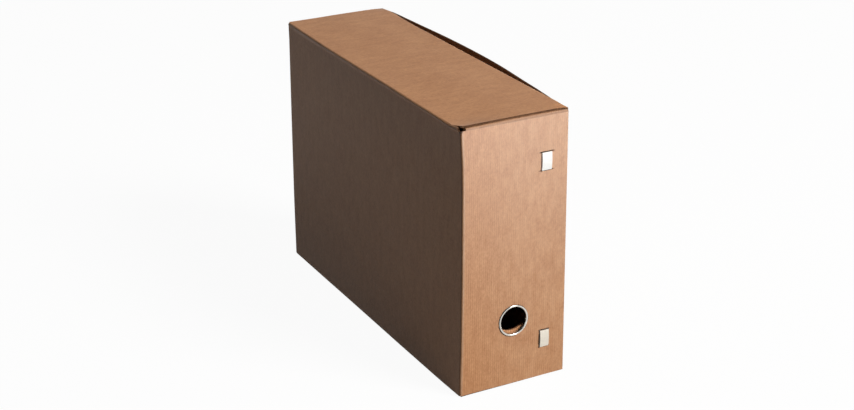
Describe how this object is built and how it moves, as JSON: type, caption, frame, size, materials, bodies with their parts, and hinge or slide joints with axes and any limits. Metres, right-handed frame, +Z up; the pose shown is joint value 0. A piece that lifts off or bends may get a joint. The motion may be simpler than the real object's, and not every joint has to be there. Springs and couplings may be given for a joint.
{
  "type": "archive box",
  "caption": "Upright folded kraft board box for filed papers, with a hinged tuck lid, dust flaps, a metal finger ring and clips on its spine.",
  "frame": {"origin": "middle of the base panel, on the surface that the box stands on", "axes": "+Z up; -Y out of the spine, the face with the finger ring; +X towards the wall that the lid's tuck flap closes against"},
  "size_m": [0.1173, 0.3611, 0.26],
  "materials": {
    "kraft_board": "matte",
    "ring_metal": "satin",
    "clip_metal": "satin"
  },
  "bodies": {
    "case": {"left_side_panel": "kraft_board", "spine_panel": "kraft_board", "back_panel": "kraft_board", "right_side_panel": "kraft_board", "joint_flap": "kraft_board", "base_panel": "kraft_board", "base_glue_flap": "kraft_board", "base_front_flap": "kraft_board", "base_back_flap": "kraft_board", "front_dust_fold": "kraft_board", "back_dust_fold": "kraft_board", "lid_fold": "kraft_board", "spine_lining": "kraft_board", "finger_ring": "ring_metal", "ring_washer": "ring_metal", "upper_clip": "clip_metal", "lower_clip": "clip_metal"},
    "lid": {"lid_panel": "kraft_board", "tuck_fold": "kraft_board"},
    "tuck": {"tuck_flap": "kraft_board"},
    "front_flap": {"front_dust_flap": "kraft_board"},
    "back_flap": {"back_dust_flap": "kraft_board"}
  },
  "joints": [
    {"name": "lid_hinge", "type": "hinge", "parent": "case", "child": "lid", "pos_m": [-0.0545, 0, 0.26], "axis": [0, -1, 0], "range_deg": [0, 250]},
    {"name": "tuck_crease", "type": "hinge", "parent": "lid", "child": "tuck", "pos_m": [0.05296, 0, 0.26], "axis": [0, -1, 0], "range_deg": [0, 75]},
    {"name": "front_flap_crease", "type": "hinge", "parent": "case", "child": "front_flap", "pos_m": [0, -0.18, 0.2582], "axis": [1, 0, 0], "range_deg": [0, 90]},
    {"name": "back_flap_crease", "type": "hinge", "parent": "case", "child": "back_flap", "pos_m": [0, 0.18, 0.2582], "axis": [-1, 0, 0], "range_deg": [0, 90]}
  ],
  "couplings": [
    {"joint": "tuck_crease", "follows": "lid_hinge", "ratio": 0.3},
    {"joint": "front_flap_crease", "follows": "lid_hinge", "ratio": 0.36},
    {"joint": "back_flap_crease", "follows": "lid_hinge", "ratio": 0.36}
  ]
}
